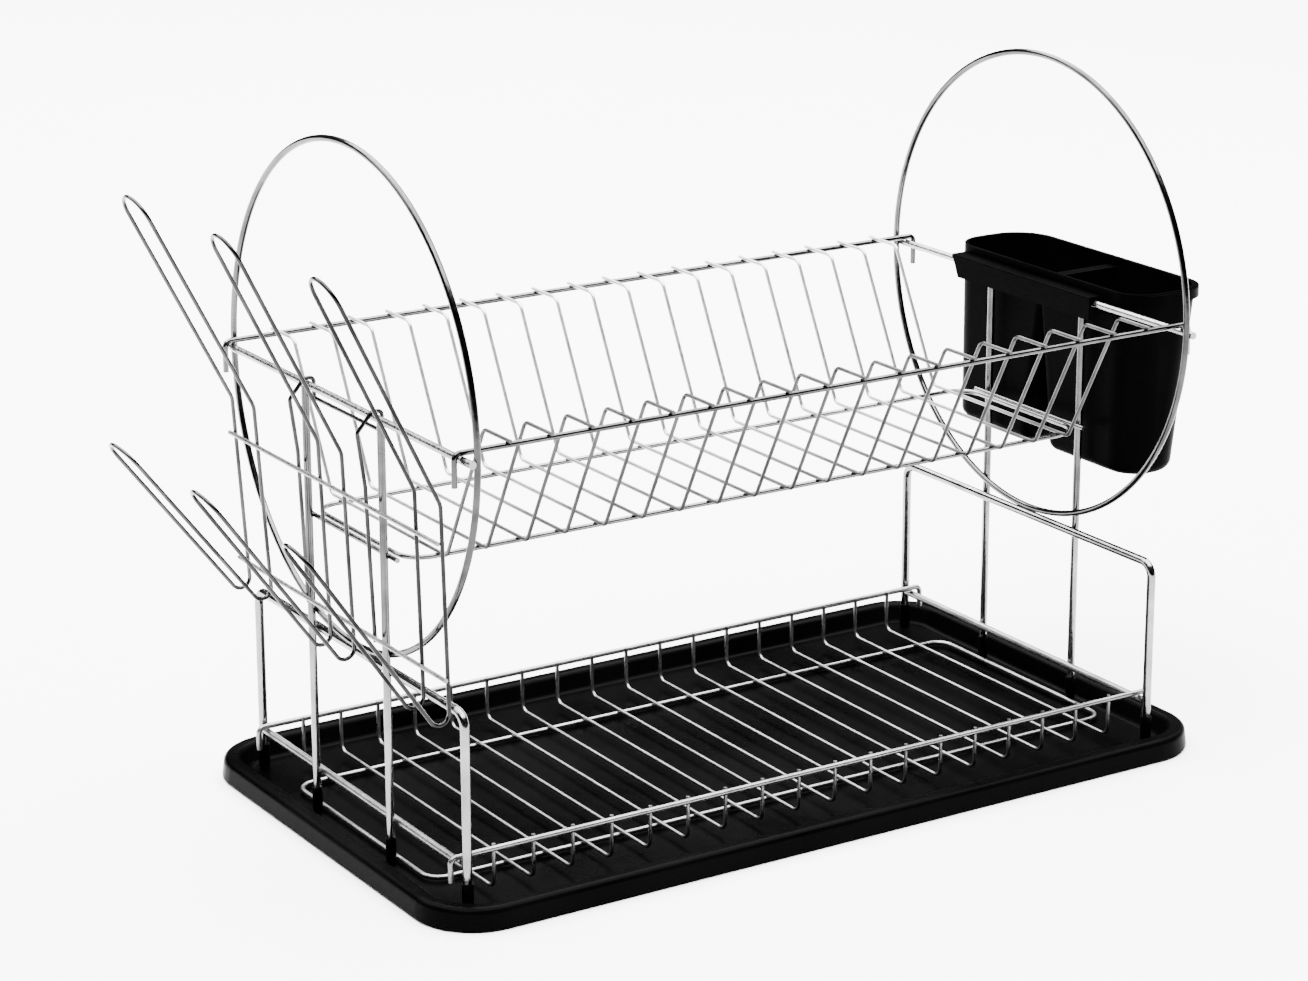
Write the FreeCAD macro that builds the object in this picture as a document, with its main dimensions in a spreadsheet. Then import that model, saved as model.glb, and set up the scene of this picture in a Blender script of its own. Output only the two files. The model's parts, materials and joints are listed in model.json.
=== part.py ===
"""Two-tier dish drying rack: chromed wire end frames, two hooked baskets, a drip tray,
a cup-hook rack and a cutlery cup.

Frame: millimetres, +X towards the cutlery cup, +Y towards the back, +Z up.
Origin: centre of the drip tray's underside.
Heights in the sheet are measured from the level that the foot caps stand on.
"""
import FreeCAD, Part
import math
import os

import Sketcher

Vector = FreeCAD.Vector
Rotation = FreeCAD.Rotation
Placement = FreeCAD.Placement

DIMENSIONS = [
    # drip tray
    ("tray_floor_thickness", 2.5, "floor of the tray"),
    ("tray_floor_half_length", 270.0, "flat floor, from the centre to its edge along X"),
    ("tray_floor_half_width", 147.0, "flat floor, from the centre to its edge along Y"),
    ("tray_corner_radius", 22.0, "plan radius at the floor's edge"),
    ("tray_rim_height", 14.5, "top of the rim above the underside"),
    ("tray_rim_inner_reach", 7.5, "inner top corner of the rim, out from the floor's edge"),
    ("tray_rim_outer_reach", 18.0, "outer top corner of the rim, out from the floor's edge"),
    ("tray_skirt_reach", 19.5, "lower edge of the outer skirt, out from the floor's edge"),
    ("tray_skirt_height", 1.5, "lower edge of the outer skirt above the underside"),
    ("tray_wall_thickness", 2.2, "wall of the hollow rim"),
    ("tray_rim_round", 4.0, "round on the top of the rim"),
    # end frames
    ("foot_gap", 0.3, "air under the foot caps"),
    ("hoop_plane", 260.0, "middle plane to the centre line of a hoop"),
    ("leg_plane", 258.5, "middle plane to the centre line of a leg frame"),
    ("hoop_radius", 156.6, "centre line of the plate hoop"),
    ("hoop_forward", 1.5, "how far the hoop and its top rail sit forward of the middle"),
    ("hoop_wire", 4.2, "diameter"),
    ("leg_wire", 5.8, "diameter"),
    ("leg_half_spacing", 135.0, "middle plane to a leg, along Y"),
    ("leg_frame_height", 123.0, "top bar of the leg frame"),
    ("leg_bend", 9.0, "bend radius on the centre line"),
    ("upright_wire", 5.0, "diameter"),
    ("upright_half_spacing", 49.0, "middle plane to an upright, along Y"),
    ("top_rail_wire", 4.8, "diameter"),
    ("top_rail_height", 282.5, "rail across the hoop"),
    ("brace_wire", 3.2, "diameter"),
    ("brace_height", 197.0, "short brace between the uprights"),
    ("brace_half_length", 59.0, "half of the brace"),
    ("end_rail_wire", 4.8, "diameter"),
    ("end_rail_height", 27.0, "lower rail between the legs"),
    ("weld_bite", 0.25, "depth that two welded wires sink into each other"),
    ("cap_wall", 0.8, "foot cap, round the wire"),
    ("cap_height", 17.0, "foot cap"),
    ("cap_floor", 2.5, "foot cap, under the wire's end"),
    ("cap_round", 2.0, "foot cap, lower edge"),
    # baskets
    ("basket_rail_wire", 3.6, "diameter of the rails with hooked ends"),
    ("loop_wire", 3.2, "diameter of the bottom loops"),
    ("cross_wire", 2.4, "diameter of the cross wires"),
    ("cross_wire_count", 18, "in each basket"),
    ("cross_wire_pitch", 27.6, "between cross wires"),
    ("hang_gap", 0.4, "air between a hooked wire and the rail that carries it"),
    ("rail_bend", 4.0, "bend radius of the hooked ends"),
    ("upper_rail_half_spacing", 148.2, "middle plane to a rail, along Y"),
    ("upper_hook_depth", 20.0, "hook, from the rail's centre line down"),
    ("upper_hook_gap", 1.2, "air between a hook's leg and the top rail"),
    ("upper_shoulder", 121.0, "where a cross wire turns down, along Y"),
    ("upper_wire_overhang", 3.5, "wire end past the rail"),
    ("upper_floor_half_width", 74.0, "where a cross wire turns level, along Y"),
    ("upper_loop_height", 197.0, "bottom loop"),
    ("upper_loop_half_length", 254.0, "bottom loop, along X"),
    ("upper_loop_half_width", 62.5, "bottom loop, along Y"),
    ("upper_loop_radius", 17.0, "bottom loop, corner"),
    ("cross_wire_bend", 6.0, "bend radius of the cross wires"),
    ("lower_rail_half_spacing", 127.4, "middle plane to a rail, along Y"),
    ("lower_hook_depth", 15.0, "hook, from the rail's centre line down"),
    ("lower_hook_gap", 2.8, "air between a hook's leg and the end rail"),
    ("lower_loop_height", 2.5, "bottom loop"),
    ("lower_loop_half_length", 258.3, "bottom loop, along X"),
    ("lower_loop_half_width", 90.0, "bottom loop, along Y"),
    ("lower_loop_radius", 12.0, "bottom loop, corner"),
    # cup-hook rack
    ("hook_wire", 2.6, "diameter of the loops and the hanger"),
    ("hook_bar_wire", 2.8, "diameter of the two bars"),
    ("hook_front_place", 121.0, "front loop, forward of the middle"),
    ("hook_back_place", 117.0, "back loop, behind the middle"),
    ("hook_front_lean", 1.8, "degrees that the front loop's top leans forward"),
    ("hook_back_lean", 2.9, "degrees that the back loop's top leans backward"),
    ("hook_loop_width", 31.0, "between the two legs of a loop"),
    ("hook_top_out", 342.0, "upper tip, out from the middle plane"),
    ("hook_top_height", 394.0, "upper tip"),
    ("hook_knee_out", 273.0, "where the legs turn down"),
    ("hook_knee_height", 255.0, "where the legs turn down"),
    ("hook_knee_bend", 12.0, "bend radius there"),
    ("hook_heel_out", 267.0, "a leg at the heel height"),
    ("hook_heel_height", 112.0, "where the out size of the heel is taken"),
    ("hook_front_heel", 104.0, "where the front loop's legs turn up again"),
    ("hook_middle_heel", 109.5, "where the middle loop's legs turn up again"),
    ("hook_back_heel", 116.0, "where the back loop's legs turn up again"),
    ("hook_heel_bend", 6.5, "bend radius there"),
    ("hook_low_out", 362.0, "lower tip"),
    ("hook_low_height", 241.0, "lower tip"),
    ("hook_upper_bar_height", 231.0, "upper bar"),
    ("hook_lower_bar_height", 147.0, "lower bar"),
    ("hook_bar_half_length", 136.0, "both bars"),
    ("hanger_half_spacing", 44.0, "between the hanger's legs, half"),
    ("hanger_tail", 4.0, "wire end below the lower bar"),
    ("hanger_knee_height", 241.0, "where a hanger leg leaves the plane of the loops"),
    ("hanger_shoulder_out", 277.0, "top of a hanger leg, out from the middle plane"),
    ("hanger_shoulder_height", 275.0, "top of a hanger leg"),
    ("hanger_drop", 9.0, "inner run below the rail's centre line"),
    ("hanger_bend", 3.0, "bend radius"),
    # cutlery cup
    ("cup_near_face", 268.9, "middle plane to the near wall"),
    ("cup_depth", 65.0, "near wall to far wall at the rim"),
    ("cup_far_draft", 15.5, "how much nearer the far wall is at the bottom"),
    ("cup_half_length", 99.0, "centre to an end along Y, at the rim"),
    ("cup_backward", 2.5, "how far the cup sits behind the middle"),
    ("cup_end_draft", 1.0, "how much shorter the cup is at the bottom, each end"),
    ("cup_rim_height", 293.0, "rim"),
    ("cup_floor_height", 168.5, "underside of both compartments"),
    ("cup_near_corner", 22.0, "plan radius at the near corners"),
    ("cup_far_corner", 26.0, "plan radius at the far corners"),
    ("cup_bottom_round", 7.0, "round between walls and floor"),
    ("cup_wall", 2.0, "walls and floors"),
    ("cup_lip_width", 2.5, "rim band, out from the wall"),
    ("cup_lip_height", 6.5, "rim band"),
    ("cup_lip_step", 0.5, "rim band below the rim, and behind the near wall"),
    ("groove_half_width", 7.0, "groove between the compartments, at the bottom"),
    ("groove_overlap", 3.0, "how far the compartments overlap at the rim"),
    ("groove_corner", 13.0, "plan radius beside the groove, at the bottom"),
    ("groove_corner_top", 3.5, "plan radius beside the groove, at the rim"),
    ("divider_half_width", 4.5, "divider at the rim"),
    ("divider_drop", 6.0, "top of the divider below the rim"),
    ("drain_hole", 4.0, "drain holes in the floors"),
    ("drain_pitch", 18.0, "between drain holes"),
    ("drain_count", 3, "drain holes in each compartment"),
    ("clip_side_gap", 1.1, "air between the clip and the inner side of the top rail"),
    ("clip_top_gap", 0.5, "air between the clip and the top of the top rail"),
    ("clip_wall", 2.2, "thickness of the clip"),
    ("clip_depth", 15.5, "clip, from its top down"),
    ("clip_back_end", 85.5, "back end of the clip, from the cup's middle"),
    ("clip_front_end", 64.5, "front end of the clip, from the cup's middle"),
    ("clip_slant", 7.0, "how much shorter the clip is at its lower edge, back end"),
    ("clip_round", 1.0, "round on the clip's outer top edge"),
]

SIDES = {"left": -1, "right": 1}
ENDS = {"front": -1, "back": 1}


class Size:
    """A number with the spreadsheet expression that drives it."""

    def __init__(self, value, text):
        self.value = float(value)
        self.text = text

    @staticmethod
    def of(other):
        return other if isinstance(other, Size) else Size(other, repr(float(other)))

    def __add__(self, other):
        other = Size.of(other)
        return Size(self.value + other.value, f"({self.text} + {other.text})")

    def __sub__(self, other):
        other = Size.of(other)
        return Size(self.value - other.value, f"({self.text} - {other.text})")

    def __mul__(self, other):
        other = Size.of(other)
        return Size(self.value * other.value, f"({self.text} * {other.text})")

    def __truediv__(self, other):
        other = Size.of(other)
        return Size(self.value / other.value, f"({self.text} / {other.text})")

    def __neg__(self):
        return Size(-self.value, f"(-1 * {self.text})")


ZERO = Size(0, "0")


class Sheet:
    """The spreadsheet of driving dimensions, read as Size objects by name."""

    def __init__(self, document):
        self.sheet = document.addObject("Spreadsheet::Sheet", "Sheet")
        for row, (alias, value, note) in enumerate(DIMENSIONS, start=1):
            self.sheet.set(f"A{row}", alias)
            self.sheet.set(f"B{row}", str(value))
            self.sheet.set(f"C{row}", note)
            self.sheet.setAlias(f"B{row}", alias)
        document.recompute()

    def __getattr__(self, alias):
        return Size(self.sheet.get(alias), f"Sheet.{alias}")


document = FreeCAD.newDocument("dish_drying_rack")
dim = Sheet(document)
foot_level = dim.tray_floor_thickness + dim.foot_gap
nodes = []


# ---------------------------------------------------------------- helpers

def bind(thing, path, size):
    """Drive one property of an object from the sheet."""
    thing.setExpression(path, size.text)


def place(thing, x=ZERO, y=ZERO, z=ZERO, rotation=None):
    """Put an object at a place that follows the sheet."""
    base = Vector(x.value, y.value, z.value)
    thing.Placement = Placement(base, rotation or Rotation())
    for axis, size in zip("xyz", (x, y, z)):
        bind(thing, f"Placement.Base.{axis}", size)


def register(thing, label):
    """Give a sub-part its name and add it to the list that is exported."""
    thing.Label = label
    nodes.append(thing)
    return thing


def new_body(label):
    body = document.addObject("PartDesign::Body", label)
    return register(body, label)


def origin_feature(body, role):
    return next(item for item in body.Origin.OriginFeatures if item.Role == role)


def new_sketch(body, plane, offset=ZERO):
    """A sketch on one of the body's own origin planes, moved along the plane's normal."""
    sketch = body.newObject("Sketcher::SketchObject", "Sketch")
    sketch.AttachmentSupport = [(origin_feature(body, plane), "")]
    sketch.MapMode = "FlatFace"
    sketch.AttachmentOffset = Placement(Vector(0, 0, offset.value), Rotation())
    bind(sketch, "AttachmentOffset.Base.z", offset)
    return sketch


def pin(sketch, geometry, point, corner):
    """Fix a point of a sketch at two sizes from the sketch's origin."""
    for kind, size in zip(("DistanceX", "DistanceY"), corner):
        index = sketch.addConstraint(Sketcher.Constraint(kind, -1, 1, geometry, point, size.value))
        bind(sketch, f"Constraints[{index}]", size)


def bend_points(before, corner, after, radius):
    """Start, middle and end of the arc that rounds a corner between two straight runs."""
    towards = (before - corner).normalize()
    onwards = (after - corner).normalize()
    half = towards.getAngle(onwards) / 2
    reach = radius / math.tan(half)
    inward = (towards + onwards).normalize()
    middle = corner + inward * (radius / math.sin(half) - radius)
    return corner + towards * reach, middle, corner + onwards * reach


def outline_sketch(body, plane, corners, radii, closed=False, offset=ZERO):
    """A chain of straight runs joined by tangent arcs, constrained to the sheet.

    corners holds (Size, Size) pairs. radii gives one radius for each corner that is
    rounded, or None for a sharp one; the two ends of an open chain take no radius.
    """
    sketch = new_sketch(body, plane, offset)
    points = [Vector(u.value, v.value, 0) for u, v in corners]
    count = len(points)
    run_total = count if closed else count - 1
    starts = list(points)
    ends = list(points)
    arcs = {}
    for i in range(count):
        is_end = not closed and i in (0, count - 1)
        if is_end or radii[i] is None:
            continue
        arc = bend_points(points[i - 1], points[i], points[(i + 1) % count], radii[i].value)
        ends[i], _, starts[i] = arc
        arcs[i] = arc
    runs = []
    for i in range(run_total):
        line = Part.LineSegment(starts[i], ends[(i + 1) % count])
        runs.append(sketch.addGeometry(line, False))
    for i in range(count):
        before = runs[i - 1] if closed or i > 0 else None
        after = runs[i] if i < run_total else None
        if i not in arcs:
            if before is not None and after is not None:
                sketch.addConstraint(Sketcher.Constraint("Coincident", before, 2, after, 1))
            if after is not None:
                pin(sketch, after, 1, corners[i])
            else:
                pin(sketch, before, 2, corners[i])
            continue
        geometry = sketch.addGeometry(Part.Arc(*arcs[i]), False)
        arc_start = arcs[i][0]
        first = 1 if sketch.getPoint(geometry, 1).distanceToPoint(arc_start) < 1e-6 else 2
        sketch.addConstraint(Sketcher.Constraint("Tangent", before, 2, geometry, first))
        sketch.addConstraint(Sketcher.Constraint("Tangent", geometry, 3 - first, after, 1))
        index = sketch.addConstraint(Sketcher.Constraint("Radius", geometry, radii[i].value))
        bind(sketch, f"Constraints[{index}]", radii[i])
        marker = sketch.addGeometry(Part.Point(points[i]), True)
        sketch.addConstraint(Sketcher.Constraint("PointOnObject", marker, 1, before))
        sketch.addConstraint(Sketcher.Constraint("PointOnObject", marker, 1, after))
        pin(sketch, marker, 1, corners[i])
    return sketch


def circle_sketch(body, plane, centre, diameter, offset=ZERO):
    sketch = new_sketch(body, plane, offset)
    middle = Vector(centre[0].value, centre[1].value, 0)
    circle = Part.Circle(middle, Vector(0, 0, 1), diameter.value / 2)
    geometry = sketch.addGeometry(circle, False)
    pin(sketch, geometry, 3, centre)
    index = sketch.addConstraint(Sketcher.Constraint("Diameter", geometry, diameter.value))
    bind(sketch, f"Constraints[{index}]", diameter)
    return sketch


def sweep(body, profile, path):
    pipe = body.newObject("PartDesign::AdditivePipe", "Pipe")
    pipe.Profile = profile
    pipe.Spine = path
    return pipe


def start_section(body, plane, start, along_u, diameter):
    """The wire's round section, square to the first run of its path."""
    u, v = start
    if plane == "XY_Plane":
        return circle_sketch(body, "YZ_Plane", (v, ZERO), diameter, offset=u)
    if plane == "XZ_Plane":
        return circle_sketch(body, "XY_Plane", (u, ZERO), diameter, offset=v)
    if along_u:
        return circle_sketch(body, "XZ_Plane", (ZERO, v), diameter, offset=-u)
    return circle_sketch(body, "XY_Plane", (ZERO, u), diameter, offset=v)


def bent_wire(label, plane, corners, bend, diameter, along_u=False):
    """A round wire bent in one plane. along_u is true if a YZ path starts along Y."""
    body = new_body(label)
    path = outline_sketch(body, plane, corners, [bend] * len(corners))
    section = start_section(body, plane, corners[0], along_u, diameter)
    sweep(body, section, path)
    return body


def straight_wire(label, direction, diameter, length, x, y, z):
    """A straight wire, centred on its place along Y or standing on its place along Z."""
    wire = register(document.addObject("Part::Cylinder", label), label)
    bind(wire, "Radius", diameter / 2)
    bind(wire, "Height", length)
    if direction == "Y":
        place(wire, x, y + length / 2, z, Rotation(Vector(1, 0, 0), 90))
    else:
        place(wire, x, y, z)
    return wire


def tube(points, radii, diameter, closed=False):
    """A solid round wire along straight runs and tangent arcs in space."""
    count = len(points)
    edges = []
    if closed:
        rounded = range(count)
    else:
        rounded = range(1, count - 1)
    bends = {}
    for i in rounded:
        bends[i] = bend_points(points[i - 1], points[i], points[(i + 1) % count], radii[i])
    if closed:
        start = (bends[count - 1][2] + bends[0][0]) * 0.5
    else:
        start = points[0]
    here = start
    for i in rounded:
        edges.append(Part.LineSegment(here, bends[i][0]).toShape())
        edges.append(Part.Arc(*bends[i]).toShape())
        here = bends[i][2]
    edges.append(Part.LineSegment(here, start if closed else points[-1]).toShape())
    path = Part.Wire(edges)
    direction = path.Edges[0].tangentAt(path.Edges[0].FirstParameter)
    section = Part.Wire([Part.Circle(start, direction, diameter / 2).toShape()])
    return path.makePipeShell([section], True, True)


# ---------------------------------------------------------------- drip tray

def make_tray():
    """Floor, and a hollow rim swept round it: inner wall, crest and outer skirt."""
    body = new_body("drip_tray")
    half_length = dim.tray_floor_half_length
    half_width = dim.tray_floor_half_width
    corner = dim.tray_corner_radius
    plan = [(-half_length, -half_width), (half_length, -half_width),
            (half_length, half_width), (-half_length, half_width)]
    floor_sketch = outline_sketch(body, "XY_Plane", plan, [corner] * 4, closed=True)
    floor = body.newObject("PartDesign::Pad", "Floor")
    floor.Profile = floor_sketch
    bind(floor, "Length", dim.tray_floor_thickness)

    wall = dim.tray_wall_thickness
    rim_top = dim.tray_rim_height
    floor_top = dim.tray_floor_thickness
    under_crest = rim_top - wall

    def out(reach):
        return -(half_width + reach)

    inner_top = dim.tray_rim_inner_reach
    outer_top = dim.tray_rim_outer_reach
    skirt = dim.tray_skirt_reach
    skirt_height = dim.tray_skirt_height
    section = [
        (out(-wall), ZERO), (out(-wall), floor_top), (out(inner_top / 4), floor_top),
        (out(inner_top), rim_top), (out(outer_top), rim_top), (out(skirt), skirt_height),
        (out(skirt - wall), skirt_height), (out(outer_top - wall), under_crest),
        (out(inner_top + wall), under_crest), (out(inner_top / 4 + wall), ZERO),
    ]
    crest = dim.tray_rim_round
    inside = crest - wall
    radii = [None, None, crest, crest, crest, None, None, inside, inside, None]
    rim_sketch = outline_sketch(body, "YZ_Plane", section, radii, closed=True)
    path_corners = [(ZERO, -half_width)] + plan[1:] + plan[:1] + [(ZERO, -half_width)]
    path = outline_sketch(body, "XY_Plane", path_corners, [corner] * 6)
    sweep(body, rim_sketch, path)


# ---------------------------------------------------------------- end frames

def make_foot_cap(label, x, y, wire):
    """A push-on cap: a short sleeve with a closed, rounded end."""
    body = new_body(label)
    bore = wire / 2
    outer = bore + dim.cap_wall
    section = [(ZERO, ZERO), (outer, ZERO), (outer, dim.cap_height), (bore, dim.cap_height),
               (bore, dim.cap_floor), (ZERO, dim.cap_floor)]
    radii = [None, dim.cap_round, None, None, None, None]
    sketch = outline_sketch(body, "XZ_Plane", section, radii, closed=True)
    turn = body.newObject("PartDesign::Revolution", "Cap")
    turn.Profile = sketch
    turn.ReferenceAxis = (origin_feature(body, "Z_Axis"), [""])
    turn.Angle = 360
    place(body, x, y, foot_level)


def make_end_frame(side, sign):
    hoop_x = dim.hoop_plane * sign
    leg_x = dim.leg_plane * sign
    bite = dim.weld_bite
    lift = (dim.leg_wire + dim.hoop_wire) / 2
    hoop_z = foot_level + dim.leg_frame_height + dim.hoop_radius + lift - bite * 2
    hoop = register(document.addObject("Part::Torus", f"{side}_hoop"), f"{side}_hoop")
    bind(hoop, "Radius1", dim.hoop_radius)
    bind(hoop, "Radius2", dim.hoop_wire / 2)
    place(hoop, hoop_x, -dim.hoop_forward, hoop_z, Rotation(Vector(0, 1, 0), 90))

    wire_end = dim.cap_floor
    leg_y = dim.leg_half_spacing
    leg_top = dim.leg_frame_height
    corners = [(leg_y, wire_end), (leg_y, leg_top), (-leg_y, leg_top), (-leg_y, wire_end)]
    leg_frame = bent_wire(f"{side}_leg_frame", "YZ_Plane", corners, dim.leg_bend, dim.leg_wire)
    place(leg_frame, leg_x, ZERO, foot_level)

    upright_x = (dim.leg_plane + (dim.leg_wire + dim.upright_wire) / 2 - bite) * sign
    rail_x = (dim.hoop_plane + (dim.hoop_wire + dim.top_rail_wire) / 2 - bite) * sign
    upright_length = dim.top_rail_height - dim.top_rail_wire / 2 + bite - wire_end
    for end, way in ENDS.items():
        upright_y = dim.upright_half_spacing * way
        straight_wire(f"{side}_{end}_upright", "Z", dim.upright_wire, upright_length,
                      upright_x, upright_y, foot_level + wire_end)
        make_foot_cap(f"{side}_{end}_leg_cap", leg_x, dim.leg_half_spacing * way, dim.leg_wire)
        make_foot_cap(f"{side}_{end}_upright_cap", upright_x, upright_y, dim.upright_wire)

    rail_length = (dim.hoop_radius + dim.hoop_wire / 2) * 2
    straight_wire(f"{side}_top_rail", "Y", dim.top_rail_wire, rail_length,
                  rail_x, -dim.hoop_forward, foot_level + dim.top_rail_height)
    brace_inset = (dim.upright_wire + dim.brace_wire) / 2 - bite
    brace_x = (dim.leg_plane + (dim.leg_wire + dim.upright_wire) / 2 - bite - brace_inset) * sign
    straight_wire(f"{side}_cross_brace", "Y", dim.brace_wire, dim.brace_half_length * 2,
                  brace_x, ZERO, foot_level + dim.brace_height)
    end_rail_length = (dim.leg_half_spacing - dim.leg_wire / 2 + bite) * 2
    straight_wire(f"{side}_end_rail", "Y", dim.end_rail_wire, end_rail_length,
                  leg_x, ZERO, foot_level + dim.end_rail_height)


# ---------------------------------------------------------------- baskets

def make_hooked_rail(label, carrier_face, gap, y, z, depth):
    """A rail that rests on two carrier wires and turns down behind each of them."""
    reach = carrier_face + gap + dim.basket_rail_wire / 2
    corners = [(-reach, -depth), (-reach, ZERO), (reach, ZERO), (reach, -depth)]
    rail = bent_wire(label, "XZ_Plane", corners, dim.rail_bend, dim.basket_rail_wire)
    place(rail, ZERO, y, z)


def make_bottom_loop(label, half_length, half_width, radius, z):
    corners = [(ZERO, -half_width), (half_length, -half_width), (half_length, half_width),
               (-half_length, half_width), (-half_length, -half_width), (ZERO, -half_width)]
    loop = bent_wire(label, "XY_Plane", corners, radius, dim.loop_wire)
    place(loop, ZERO, ZERO, z)


def make_cross_wires(label, corners, along_u):
    """A row of equal bent wires along X, each one a separate solid."""
    body = bent_wire(label, "YZ_Plane", corners, dim.cross_wire_bend, dim.cross_wire, along_u)
    body.AllowCompound = True
    row = body.newObject("PartDesign::LinearPattern", "Row")
    row.Originals = [body.Tip]
    row.Direction = (origin_feature(body, "X_Axis"), [""])
    length = dim.cross_wire_pitch * (dim.cross_wire_count - 1)
    bind(row, "Length", length)
    bind(row, "Occurrences", dim.cross_wire_count)
    body.Tip = row
    place(body, -(length / 2), ZERO, ZERO)


def make_upper_basket():
    bite = dim.weld_bite
    rail_z = (foot_level + dim.top_rail_height
              + (dim.top_rail_wire + dim.basket_rail_wire) / 2 + dim.hang_gap)
    carrier_face = dim.hoop_plane + dim.hoop_wire / 2 + dim.top_rail_wire - bite
    for end, way in ENDS.items():
        make_hooked_rail(f"upper_{end}_rail", carrier_face, dim.upper_hook_gap,
                         dim.upper_rail_half_spacing * way, rail_z, dim.upper_hook_depth)
    loop_z = foot_level + dim.upper_loop_height
    make_bottom_loop("upper_bottom_loop", dim.upper_loop_half_length, dim.upper_loop_half_width,
                     dim.upper_loop_radius, loop_z)
    top = rail_z + (dim.basket_rail_wire + dim.cross_wire) / 2 - bite
    bottom = loop_z + (dim.loop_wire + dim.cross_wire) / 2 - bite
    wire_end = dim.upper_rail_half_spacing + dim.upper_wire_overhang
    shoulder = dim.upper_shoulder
    floor = dim.upper_floor_half_width
    corners = [(wire_end, top), (shoulder, top), (floor, bottom),
               (-floor, bottom), (-shoulder, top), (-wire_end, top)]
    make_cross_wires("upper_cross_wires", corners, along_u=True)


def make_lower_basket():
    bite = dim.weld_bite
    rail_z = (foot_level + dim.end_rail_height
              + (dim.end_rail_wire + dim.basket_rail_wire) / 2 + dim.hang_gap)
    carrier_face = dim.leg_plane + dim.end_rail_wire / 2
    for end, way in ENDS.items():
        make_hooked_rail(f"lower_{end}_rail", carrier_face, dim.lower_hook_gap,
                         dim.lower_rail_half_spacing * way, rail_z, dim.lower_hook_depth)
    loop_z = foot_level + dim.lower_loop_height
    make_bottom_loop("lower_bottom_loop", dim.lower_loop_half_length, dim.lower_loop_half_width,
                     dim.lower_loop_radius, loop_z)
    side = dim.lower_rail_half_spacing - (dim.basket_rail_wire + dim.cross_wire) / 2 + bite
    bottom = loop_z + (dim.loop_wire + dim.cross_wire) / 2 - bite
    top = rail_z + dim.basket_rail_wire / 2
    corners = [(side, top), (side, bottom), (-side, bottom), (-side, top)]
    make_cross_wires("lower_cross_wires", corners, along_u=False)


# ---------------------------------------------------------------- cup-hook rack

def leg_out(height):
    """How far out from the middle plane a loop's leg is at a height."""
    slope = (dim.hook_knee_out - dim.hook_heel_out) / (dim.hook_knee_height - dim.hook_heel_height)
    return dim.hook_heel_out + (height - dim.hook_heel_height) * slope


def make_hook_loop(label, y, heel, lean):
    """One closed wire: two legs, a long upper hairpin and a turned-up lower hairpin.

    The loop leans about the level of the upper bar, so that both bars still meet its legs.
    """
    half = dim.hook_loop_width.value / 2
    pivot = dim.hook_upper_bar_height
    profile = [(dim.hook_top_out, dim.hook_top_height), (dim.hook_knee_out, dim.hook_knee_height),
               (leg_out(heel), heel), (dim.hook_low_out, dim.hook_low_height)]
    front = [Vector(-out.value, -half, (z - pivot).value) for out, z in profile]
    back = [Vector(-out.value, half, (z - pivot).value) for out, z in reversed(profile)]
    hairpin = half * 0.99
    side_radii = [hairpin, dim.hook_knee_bend.value, dim.hook_heel_bend.value, hairpin]
    loop = register(document.addObject("Part::Feature", label), label)
    loop.Shape = tube(front + back, side_radii + side_radii[::-1], dim.hook_wire.value, closed=True)
    turn = Rotation(Vector(1, 0, 0), lean.value)
    place(loop, ZERO, y, foot_level + pivot, turn)


def make_hanger():
    """One wire: up from the lower bar, over the top rail, along behind it and back down."""
    rail_x = dim.hoop_plane + (dim.hoop_wire + dim.top_rail_wire) / 2 - dim.weld_bite
    clear = (dim.top_rail_wire + dim.hook_wire) / 2 + dim.hang_gap
    foot = dim.hook_lower_bar_height - dim.hanger_tail
    knee = dim.hanger_knee_height
    over = dim.top_rail_height + clear
    heights = [foot, knee, dim.hanger_shoulder_height, over, over,
               dim.top_rail_height - dim.hanger_drop]
    outs = [leg_out(foot), leg_out(knee), dim.hanger_shoulder_out, rail_x + dim.hook_wire,
            rail_x - clear, rail_x - clear]
    half = dim.hanger_half_spacing.value
    back = [Vector(-out.value, half, z.value) for out, z in zip(outs, heights)]
    front = [Vector(point.x, -point.y, point.z) for point in reversed(back)]
    bend = dim.hanger_bend.value
    radii = [bend] * (len(back) * 2)
    hanger = register(document.addObject("Part::Feature", "hook_hanger"), "hook_hanger")
    hanger.Shape = tube(back + front, radii, dim.hook_wire.value)
    place(hanger, ZERO, ZERO, foot_level)


def make_hook_rack():
    make_hook_loop("cup_hook_front", -dim.hook_front_place, dim.hook_front_heel,
                   dim.hook_front_lean)
    make_hook_loop("cup_hook_middle", ZERO, dim.hook_middle_heel, ZERO)
    make_hook_loop("cup_hook_back", dim.hook_back_place, dim.hook_back_heel, -dim.hook_back_lean)
    make_hanger()
    proud = (dim.hook_wire + dim.hook_bar_wire) / 2 - dim.weld_bite
    for name, height in (("upper", dim.hook_upper_bar_height), ("lower", dim.hook_lower_bar_height)):
        straight_wire(f"hook_{name}_bar", "Y", dim.hook_bar_wire, dim.hook_bar_half_length * 2,
                      -(leg_out(height) + proud), ZERO, foot_level + height)


# ---------------------------------------------------------------- cutlery cup

def add_part(kind, name, sizes, base=(ZERO, ZERO, ZERO), rotation=None):
    """A Part primitive with its sizes and its place bound to the sheet."""
    thing = document.addObject(f"Part::{kind}", name)
    for key, size in sizes.items():
        bind(thing, key, size)
    place(thing, *base, rotation)
    return thing


def box_between(name, x, y, z):
    """A block between two sizes along each axis."""
    sizes = {"Length": x[1] - x[0], "Width": y[1] - y[0], "Height": z[1] - z[0]}
    return add_part("Box", name, sizes, (x[0], y[0], z[0]))


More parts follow.
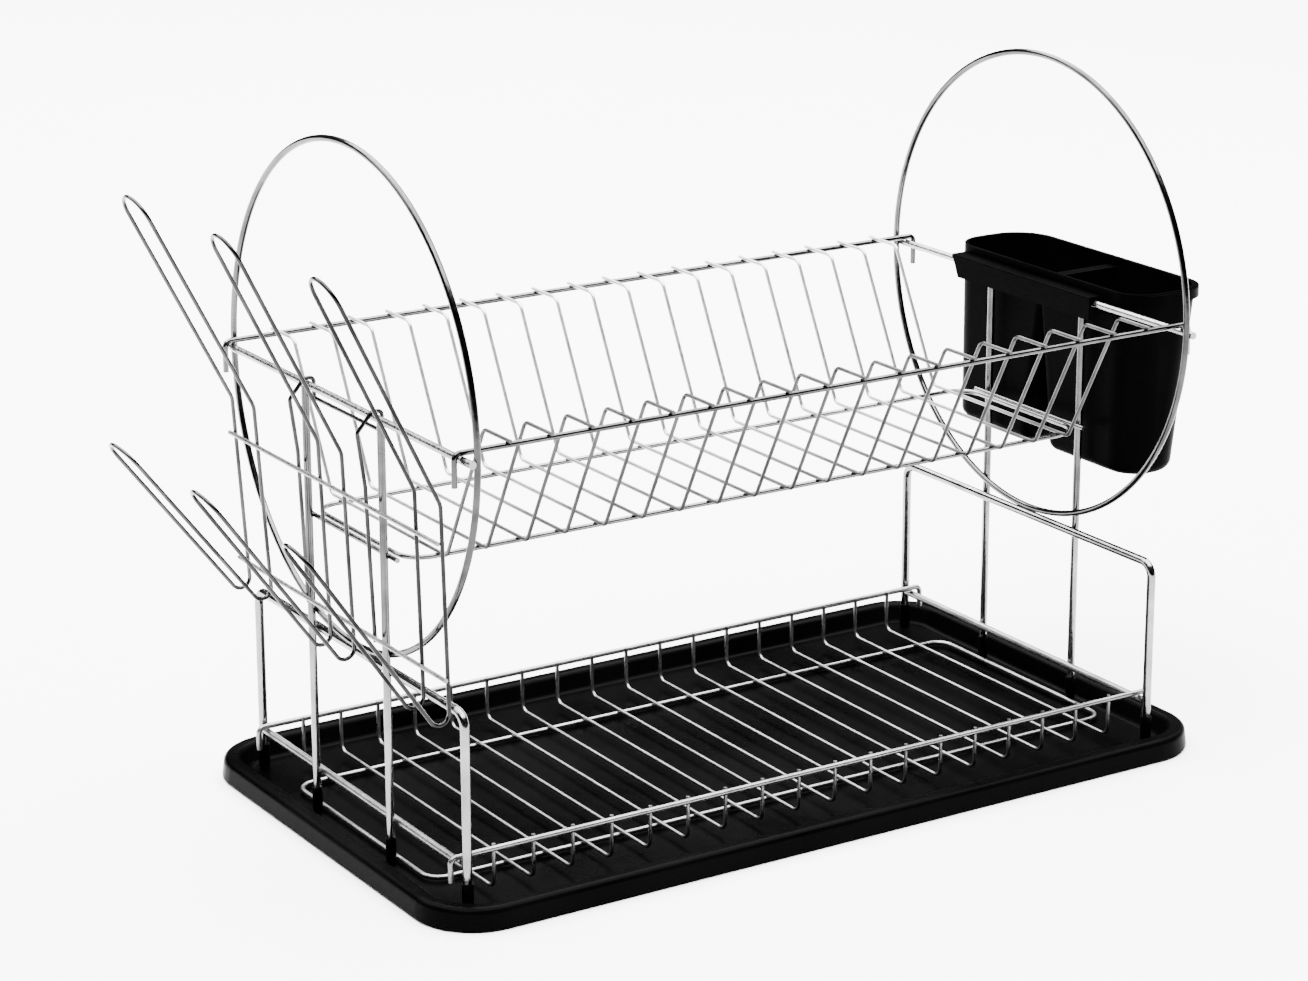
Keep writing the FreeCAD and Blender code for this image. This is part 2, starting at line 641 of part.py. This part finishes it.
def tapered_block(name, low, x_low, y_low, high, x_high, y_high):
    """A block with flat sides between a rectangle at one height and one at another."""
    sizes = {"Xmin": x_low[0], "Xmax": x_low[1], "Zmin": -y_low[1], "Zmax": -y_low[0],
             "X2min": x_high[0], "X2max": x_high[1], "Z2min": -y_high[1], "Z2max": -y_high[0],
             "Ymin": low, "Ymax": high}
    return add_part("Wedge", name, sizes, rotation=Rotation(Vector(1, 0, 0), 90))


def combine(kind, name, pieces):
    """A fusion of all pieces, or the first piece with the second cut away."""
    thing = document.addObject(f"Part::{kind}", name)
    if kind == "MultiFuse":
        thing.Shapes = pieces
    else:
        thing.Base, thing.Tool = pieces
    return thing


def rounded(name, base, radii_at):
    """Round the edges for which radii_at(first end, last end) gives two radii."""
    document.recompute()
    picks = []
    for index, edge in enumerate(base.Shape.Edges, start=1):
        radii = radii_at(edge.valueAt(edge.FirstParameter), edge.valueAt(edge.LastParameter))
        if radii:
            picks.append((index, *radii))
    if not picks:
        raise RuntimeError(f"{name} found no edges")
    fillet = document.addObject("Part::Fillet", name)
    fillet.Base = base
    fillet.Edges = picks
    return fillet


def is_level(first, last, height):
    return abs(first.z - height.value) < 1e-4 and abs(last.z - height.value) < 1e-4


def compartment(name, way, wall, inner_top):
    """One compartment's outside (wall is zero) or its room, with rounded corners."""
    rim = dim.cup_rim_height
    bottom = dim.cup_floor_height + wall
    far_top = dim.cup_depth - wall
    far_bottom = far_top - dim.cup_far_draft
    end_top = dim.cup_half_length - wall
    end_bottom = end_top - dim.cup_end_draft
    inner_bottom = dim.groove_half_width + wall

    def span(inner, end):
        return (inner, end) if way > 0 else (-end, -inner)

    block = tapered_block(f"{name}_block", bottom, (wall, far_bottom), span(inner_bottom, end_bottom),
                          rim, (wall, far_top), span(inner_top, end_top))

    def corner_radii(first, last):
        if abs(first.z - last.z) < 1:
            return None
        middle = (first + last) * 0.5
        if abs(middle.y) > dim.cup_half_length.value / 2:
            is_near = middle.x < dim.cup_depth.value / 2
            corner = dim.cup_near_corner if is_near else dim.cup_far_corner
            return [(corner - wall).value] * 2
        low = (dim.groove_corner - wall).value
        high = dim.groove_corner_top.value
        return (low, high) if first.z < last.z else (high, low)

    corners = rounded(f"{name}_corners", block, corner_radii)
    bottom_round = (dim.cup_bottom_round - wall).value

    def bottom_radii(first, last):
        return [bottom_round] * 2 if is_level(first, last, bottom) else None

    return rounded(f"{name}_bottom", corners, bottom_radii)


def rim_block(name, near, out):
    """A round-cornered block as tall as the rim band, larger than the cup's plan by out."""
    top = dim.cup_rim_height - dim.cup_lip_step
    end = dim.cup_half_length + out
    far = dim.cup_depth + out
    block = box_between(f"{name}_block", (near, far), (-end, end), (top - dim.cup_lip_height, top))

    def corner_radii(first, last):
        if abs(first.z - last.z) < 1:
            return None
        is_near = first.x < far.value / 2
        corner = dim.cup_near_corner if is_near else dim.cup_far_corner
        return [(corner + out).value] * 2

    return rounded(f"{name}_corners", block, corner_radii)


def make_rim_band():
    """The thicker band round the rim; it does not stand out from the near wall."""
    inset = dim.cup_wall / 2
    return combine("Cut", "rim_band", [rim_block("band", dim.cup_lip_step, dim.cup_lip_width),
                                       rim_block("band_inside", inset, -inset)])


def make_clip():
    """Top plate from the near wall over the top rail, and the lip that hangs behind it."""
    rail_x = dim.hoop_plane + (dim.hoop_wire + dim.top_rail_wire) / 2 - dim.weld_bite
    rail_radius = dim.top_rail_wire / 2
    lip_outer = rail_x - rail_radius - dim.clip_side_gap - dim.cup_near_face
    lip_inner = lip_outer - dim.clip_wall
    under = dim.top_rail_height + rail_radius + dim.clip_top_gap
    top = under + dim.clip_wall
    back = dim.clip_back_end
    front = -dim.clip_front_end
    plate = box_between("clip_plate", (lip_inner, dim.cup_wall * 0.75), (front, back), (under, top))
    lip = tapered_block("clip_lip", top - dim.clip_depth, (lip_inner, lip_outer),
                        (front, back - dim.clip_slant), top, (lip_inner, lip_outer), (front, back))
    clip = combine("MultiFuse", "clip_joined", [plate, lip])
    clip.Refine = True

    def top_radii(first, last):
        is_edge = is_level(first, last, top) and abs(first.x - lip_inner.value) < 1e-4
        return [dim.clip_round.value] * 2 if is_edge and abs(first.x - last.x) < 1e-4 else None

    return rounded("clip_rounded", clip, top_radii)


def make_drain_holes():
    """A row of round holes through the floor of each compartment."""
    holes = []
    middle_x = (dim.cup_depth - dim.cup_far_draft) / 2
    middle_y = (dim.cup_half_length - dim.cup_end_draft + dim.groove_half_width) / 2
    sizes = {"Radius": dim.drain_hole / 2, "Height": dim.cup_wall * 3}
    count = int(dim.drain_count.value)
    for end, way in ENDS.items():
        for i in range(count):
            y = middle_y * way + dim.drain_pitch * (i - (count - 1) / 2)
            base = (middle_x, y, dim.cup_floor_height - dim.cup_wall)
            holes.append(add_part("Cylinder", f"drain_{end}_{i}", sizes, base))
    return holes


def make_cup():
    """Two compartments with a common rim, and a clip that hangs over the top rail."""
    outsides = [compartment(f"outside_{end}", way, ZERO, -dim.groove_overlap)
                for end, way in ENDS.items()]
    rooms = [compartment(f"room_{end}", way, dim.cup_wall, dim.divider_half_width)
             for end, way in ENDS.items()]
    rim = dim.cup_rim_height
    notch_half = dim.divider_half_width + dim.groove_corner_top
    notch = box_between("divider_notch", (dim.cup_wall, dim.cup_depth - dim.cup_wall),
                        (-notch_half, notch_half), (rim - dim.divider_drop, rim))
    solid = combine("MultiFuse", "cup_solid", outsides)
    hollow = combine("MultiFuse", "cup_hollow", rooms + [notch] + make_drain_holes())
    pots = combine("Cut", "cup_pots", [solid, hollow])
    joined = combine("MultiFuse", "cutlery_cup", [pots, make_rim_band(), make_clip()])
    cup = register(joined, "cutlery_cup")
    place(cup, dim.cup_near_face, dim.cup_backward, foot_level)


for side, sign in SIDES.items():
    make_end_frame(side, sign)
make_tray()
make_upper_basket()
make_lower_basket()
make_hook_rack()
make_cup()


# ---------------------------------------------------------------- check and export

def check_and_export():
    document.recompute()
    for thing in document.Objects:
        bad = [state for state in thing.State if state in ("Invalid", "Error")]
        if bad:
            raise RuntimeError(f"{thing.Label} did not recompute: {bad}")
    os.makedirs("parts", exist_ok=True)
    for thing in nodes:
        shape = thing.Shape
        if shape.isNull() or not shape.isValid() or shape.Volume <= 0:
            raise RuntimeError(f"{thing.Label} has no valid shape")
        shape.exportStep(f"parts/{thing.Label}.step")
        print(f"{thing.Label:24s} solids {len(shape.Solids):3d}  volume {shape.Volume:12.1f}")


check_and_export()
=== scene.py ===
"""Dish drying rack: looks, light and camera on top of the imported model."""

import json
import math

import bpy
from mathutils import Matrix, Vector

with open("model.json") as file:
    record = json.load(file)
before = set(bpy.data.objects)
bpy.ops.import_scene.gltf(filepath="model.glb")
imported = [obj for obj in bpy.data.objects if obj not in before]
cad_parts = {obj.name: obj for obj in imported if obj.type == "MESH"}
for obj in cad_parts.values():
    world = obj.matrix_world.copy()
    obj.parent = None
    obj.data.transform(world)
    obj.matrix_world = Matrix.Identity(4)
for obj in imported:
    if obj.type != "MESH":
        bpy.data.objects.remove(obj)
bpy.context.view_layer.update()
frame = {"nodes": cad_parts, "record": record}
nodes = frame["nodes"]


# ---------------------------------------------------------------- node helpers

def new_material(name):
    """A node material with a Principled shader, its node tree and the shader."""
    material = bpy.data.materials.new(name)
    material.use_nodes = True
    tree = material.node_tree
    return material, tree, tree.nodes["Principled BSDF"]


def add(tree, kind, **values):
    """A node of a kind, with attributes set by name."""
    node = tree.nodes.new(kind)
    for key, value in values.items():
        setattr(node, key, value)
    return node


def object_space(tree, scale=(1, 1, 1)):
    """Object coordinates in metres, stretched by a scale."""
    coordinates = add(tree, "ShaderNodeTexCoord")
    mapping = add(tree, "ShaderNodeMapping")
    mapping.inputs["Scale"].default_value = scale
    tree.links.new(coordinates.outputs["Object"], mapping.inputs["Vector"])
    return mapping.outputs["Vector"]


def noise(tree, vector, scale, detail=3.0, roughness=0.55):
    node = add(tree, "ShaderNodeTexNoise")
    node.inputs["Scale"].default_value = scale
    node.inputs["Detail"].default_value = detail
    node.inputs["Roughness"].default_value = roughness
    tree.links.new(vector, node.inputs["Vector"])
    return node.outputs["Fac"]


def ramp(tree, factor, stops):
    """A colour ramp from (position, grey or colour) stops."""
    node = add(tree, "ShaderNodeValToRGB")
    elements = node.color_ramp.elements
    while len(elements) < len(stops):
        elements.new(0.5)
    for element, (position, value) in zip(elements, stops):
        element.position = position
        colour = value if isinstance(value, tuple) else (value, value, value)
        element.color = (*colour, 1)
    tree.links.new(factor, node.inputs["Fac"])
    return node.outputs["Color"]


def bump(tree, height, strength, distance, normal=None):
    node = add(tree, "ShaderNodeBump")
    node.inputs["Strength"].default_value = strength
    node.inputs["Distance"].default_value = distance
    tree.links.new(height, node.inputs["Height"])
    if normal is not None:
        tree.links.new(normal, node.inputs["Normal"])
    return node.outputs["Normal"]


# ---------------------------------------------------------------- materials

def chrome_wire(name, first, last, shine=(0.10, 0.20), axis="Y", span=(-0.10, 0.15)):
    """Plating on drawn wire: a cloudy grey that changes along one axis, fine draw marks.

    first and last each hold the darkest and the lightest grey at the two ends of span,
    in metres along the axis; shine holds the lowest and the highest roughness. The change
    from first to last is painted shade and painted light, set by where the wire stands.
    """
    material, tree, shader = new_material(name)
    space = object_space(tree)
    cloud = noise(tree, space, 45, 4)
    fine = noise(tree, space, 420, 3)
    # Painted shade and painted light: the grey blends from first to last along the axis, standing
    # in for how the wire is lit at each end.
    split = add(tree, "ShaderNodeSeparateXYZ")
    tree.links.new(space, split.inputs["Vector"])
    along = add(tree, "ShaderNodeMapRange")
    along.inputs["From Min"].default_value = span[0]
    along.inputs["From Max"].default_value = span[1]
    tree.links.new(split.outputs[axis], along.inputs["Value"])
    mix = add(tree, "ShaderNodeMix", data_type="RGBA")
    tree.links.new(along.outputs["Result"], mix.inputs["Factor"])
    tree.links.new(ramp(tree, cloud, [(0.3, first[0]), (0.7, first[1])]), mix.inputs["A"])
    tree.links.new(ramp(tree, cloud, [(0.3, last[0]), (0.7, last[1])]), mix.inputs["B"])
    tree.links.new(mix.outputs["Result"], shader.inputs["Base Color"])
    rough = ramp(tree, fine, [(0.3, shine[0]), (0.75, shine[1])])
    tree.links.new(rough, shader.inputs["Roughness"])
    ripple = bump(tree, noise(tree, space, 160, 2), 0.25, 0.0004)
    tree.links.new(bump(tree, fine, 0.12, 0.0002, ripple), shader.inputs["Normal"])
    shader.inputs["Metallic"].default_value = 1.0
    return material


def black_plastic(name, cloud_scale, grain_scale, greys, shine, grain_strength, sheen):
    """Black moulded plastic with a fine leather-like grain and faint scuffs.

    greys and shine hold the two ends of the colour and of the roughness; sheen is the
    specular level.
    """
    material, tree, shader = new_material(name)
    space = object_space(tree)
    cloud = noise(tree, space, cloud_scale, 4)
    grain = noise(tree, space, grain_scale, 2)
    tint = ramp(tree, cloud, [(0.3, greys[0]), (0.7, greys[1])])
    tree.links.new(tint, shader.inputs["Base Color"])
    rough = ramp(tree, cloud, [(0.35, shine[0]), (0.7, shine[1])])
    tree.links.new(rough, shader.inputs["Roughness"])
    tree.links.new(bump(tree, grain, grain_strength, 0.0003), shader.inputs["Normal"])
    shader.inputs["Specular IOR Level"].default_value = sheen
    return material


def cap_rubber():
    """Smooth black caps on the wire ends."""
    material, tree, shader = new_material("cap_rubber")
    space = object_space(tree)
    cloud = noise(tree, space, 220, 3)
    tint = ramp(tree, cloud, [(0.3, 0.0003), (0.7, 0.001)])
    tree.links.new(tint, shader.inputs["Base Color"])
    tree.links.new(ramp(tree, cloud, [(0.3, 0.28), (0.75, 0.45)]), shader.inputs["Roughness"])
    tree.links.new(bump(tree, cloud, 0.2, 0.0003), shader.inputs["Normal"])
    shader.inputs["Specular IOR Level"].default_value = 0.03
    return material


# Each chrome finish is a lit or shaded copy of the same plating, its greys painted light and
# painted shade: the greys at the two ends of its span, and what else chrome_wire takes.
CHROME_PAINTED_GREYS = {
    "chrome_wire": dict(first=(0.12, 0.22), last=(0.14, 0.26)),
    "chrome_painted_pale": dict(first=(0.11, 0.20), last=(0.14, 0.25), shine=(0.26, 0.40)),
    "chrome_painted_mid": dict(first=(0.04, 0.10), last=(0.14, 0.26), shine=(0.18, 0.30)),
    "chrome_thin": dict(first=(0.03, 0.07), last=(0.40, 0.54), shine=(0.30, 0.44),
                        span=(-0.04, 0.13)),
    "chrome_top": dict(first=(0.16, 0.28), last=(0.24, 0.38), shine=(0.20, 0.32)),
    "chrome_bar": dict(first=(0.10, 0.20), last=(0.10, 0.20), shine=(0.24, 0.38)),
    "chrome_painted_dark": dict(first=(0.02, 0.06), last=(0.05, 0.11)),
    "chrome_hook": dict(first=(0.006, 0.02), last=(0.02, 0.06)),
    "chrome_upright": dict(first=(0.12, 0.22), last=(0.03, 0.08), axis="Z", span=(0.10, 0.15)),
}

finishes = {name: chrome_wire(name, **look) for name, look in CHROME_PAINTED_GREYS.items()}
finishes["tray_plastic"] = black_plastic("tray_plastic", 9, 900, (0.0002, 0.0009),
                                         (0.24, 0.36), 0.3, 0.006)
finishes["cup_plastic"] = black_plastic("cup_plastic", 14, 1100, (0.0002, (0.0007, 0.0007, 0.0008)),
                                        (0.34, 0.46), 0.25, 0.003)
finishes["cap_rubber"] = cap_rubber()


def set_finish(thing, slot_name):
    """Give every material slot of an object one finish, without touching its mesh."""
    if not thing.material_slots:
        thing.data.materials.append(None)
    for slot in thing.material_slots:
        slot.link = "OBJECT"
        slot.material = finishes[slot_name]


# Which wires take which lit or shaded copy of the chrome (painted light and painted shade), by
# words in the node names; the rest stay chrome_wire.
CHROME_WORDS = {
    "chrome_painted_pale": ("lower_cross_wires", "lower_bottom_loop", "lower_front_rail",
                    "lower_back_rail", "end_rail"),
    "chrome_painted_mid": ("upper_bottom_loop", "cross_brace"),
    "chrome_thin": ("upper_cross_wires",),
    "chrome_top": ("top_rail",),
    "chrome_bar": ("hook_upper_bar", "hook_lower_bar"),
    "chrome_painted_dark": ("hoop", "upper_front_rail", "upper_back_rail"),
    "chrome_hook": ("cup_hook", "hook_hanger"),
    "chrome_upright": ("upright",),
}


def finish_of(name, slot_name):
    """The finish of a CAD node, from its name and the material slot in the record."""
    if slot_name == "chrome_wire":
        for key, words in CHROME_WORDS.items():
            if any(word in name for word in words):
                return key
    return slot_name


for entry in frame["record"]["subparts"]:
    set_finish(nodes[entry["node"]], finish_of(entry["node"], entry["material_slot"]))


# ---------------------------------------------------------------- floor, light and camera

# The side walls' grey, from straight away from the camera (0) to straight towards it (1).
WALL_GREYS = [(0.15, 0.035), (0.45, 0.025), (0.6, 0.012), (1.0, 0.01)]
TOWARDS_CAMERA = (-0.522, -0.853, 0.0)
WORLD_STRENGTH = 2.2
FLOOR_SIZE = 40
FLOOR_LEVEL = -0.0002
CAMERA_ANGLES = (-31.488, 16.242, -0.361)
CAMERA_TARGET = Vector((-0.05227, 0.04356, 0.2241))
CAMERA_DISTANCE = 2.3071
CAMERA_LENS = 98.42
CAMERA_SHIFT = (0.0379, -0.0477)


def make_floor():
    bpy.ops.mesh.primitive_plane_add(size=FLOOR_SIZE, location=(0, 0, FLOOR_LEVEL))
    floor = bpy.context.object
    floor.name = "floor"
    material, tree, shader = new_material("floor_paper")
    space = object_space(tree)
    tint = ramp(tree, noise(tree, space, 3, 2), [(0.2, 0.86), (0.8, 0.88)])
    tree.links.new(tint, shader.inputs["Base Color"])
    shader.inputs["Roughness"].default_value = 0.9
    shader.inputs["Specular IOR Level"].default_value = 0.1
    floor.data.materials.append(material)


def area_light(name, location, target, size, power):
    data = bpy.data.lights.new(name, "AREA")
    data.shape = "RECTANGLE"
    data.size, data.size_y = size
    data.energy = power
    light = bpy.data.objects.new(name, data)
    light.location = location
    direction = Vector(target) - Vector(location)
    light.rotation_euler = direction.to_track_quat("-Z", "Y").to_euler()
    bpy.context.scene.collection.objects.link(light)
    return light


def make_world():
    """A studio: bright overhead and dark at the sides, darkest towards the camera."""
    world = bpy.data.worlds.new("studio")
    bpy.context.scene.world = world
    world.use_nodes = True
    tree = world.node_tree
    background = tree.nodes["Background"]
    direction = add(tree, "ShaderNodeTexCoord").outputs["Generated"]
    split = add(tree, "ShaderNodeSeparateXYZ")
    tree.links.new(direction, split.inputs["Vector"])
    facing = add(tree, "ShaderNodeVectorMath", operation="DOT_PRODUCT")
    facing.inputs[1].default_value = TOWARDS_CAMERA
    tree.links.new(direction, facing.inputs[0])
    half = add(tree, "ShaderNodeMath", operation="MULTIPLY_ADD")
    half.inputs[1].default_value = 0.5
    half.inputs[2].default_value = 0.5
    tree.links.new(facing.outputs["Value"], half.inputs[0])
    wall = ramp(tree, half.outputs["Value"], WALL_GREYS)
    height = ramp(tree, split.outputs["Z"], [(0.72, 0.0), (0.92, 1.0)])
    mix = add(tree, "ShaderNodeMix", data_type="RGBA")
    tree.links.new(height, mix.inputs["Factor"])
    tree.links.new(wall, mix.inputs["A"])
    mix.inputs["B"].default_value = (1, 1, 1, 1)
    tree.links.new(mix.outputs["Result"], background.inputs["Color"])
    background.inputs["Strength"].default_value = WORLD_STRENGTH


def make_camera():
    """The viewpoint: turned by azimuth, elevation and roll, a distance from its target."""
    azimuth, elevation, roll = (math.radians(v) for v in CAMERA_ANGLES)
    back = Vector((math.sin(azimuth) * math.cos(elevation),
                   -math.cos(azimuth) * math.cos(elevation), math.sin(elevation)))
    right = (-back).cross(Vector((0, 0, 1))).normalized()
    up = right.cross(-back)
    level = Matrix((right, up, back)).transposed()
    data = bpy.data.cameras.new("camera")
    data.sensor_width = 36
    data.lens = CAMERA_LENS
    data.shift_x, data.shift_y = CAMERA_SHIFT
    data.clip_start, data.clip_end = 0.05, 100
    camera = bpy.data.objects.new("camera", data)
    turn = Matrix.Rotation(roll, 3, back)
    camera.matrix_world = (turn @ level).to_4x4()
    camera.location = CAMERA_TARGET + back * CAMERA_DISTANCE
    bpy.context.scene.collection.objects.link(camera)
    bpy.context.scene.camera = camera


make_floor()
make_world()
area_light("key", (0.4, 1.4, 4.0), (0.4, 1.4, 0), (6.5, 7.5), 3400)
area_light("back_left", (-2.2, 1.6, 1.8), (0, 0, 0.1), (1.2, 1.2), 40)
area_light("right", (2.4, 0.6, 1.6), (0, 0, 0.2), (1.0, 1.6), 30)
make_camera()
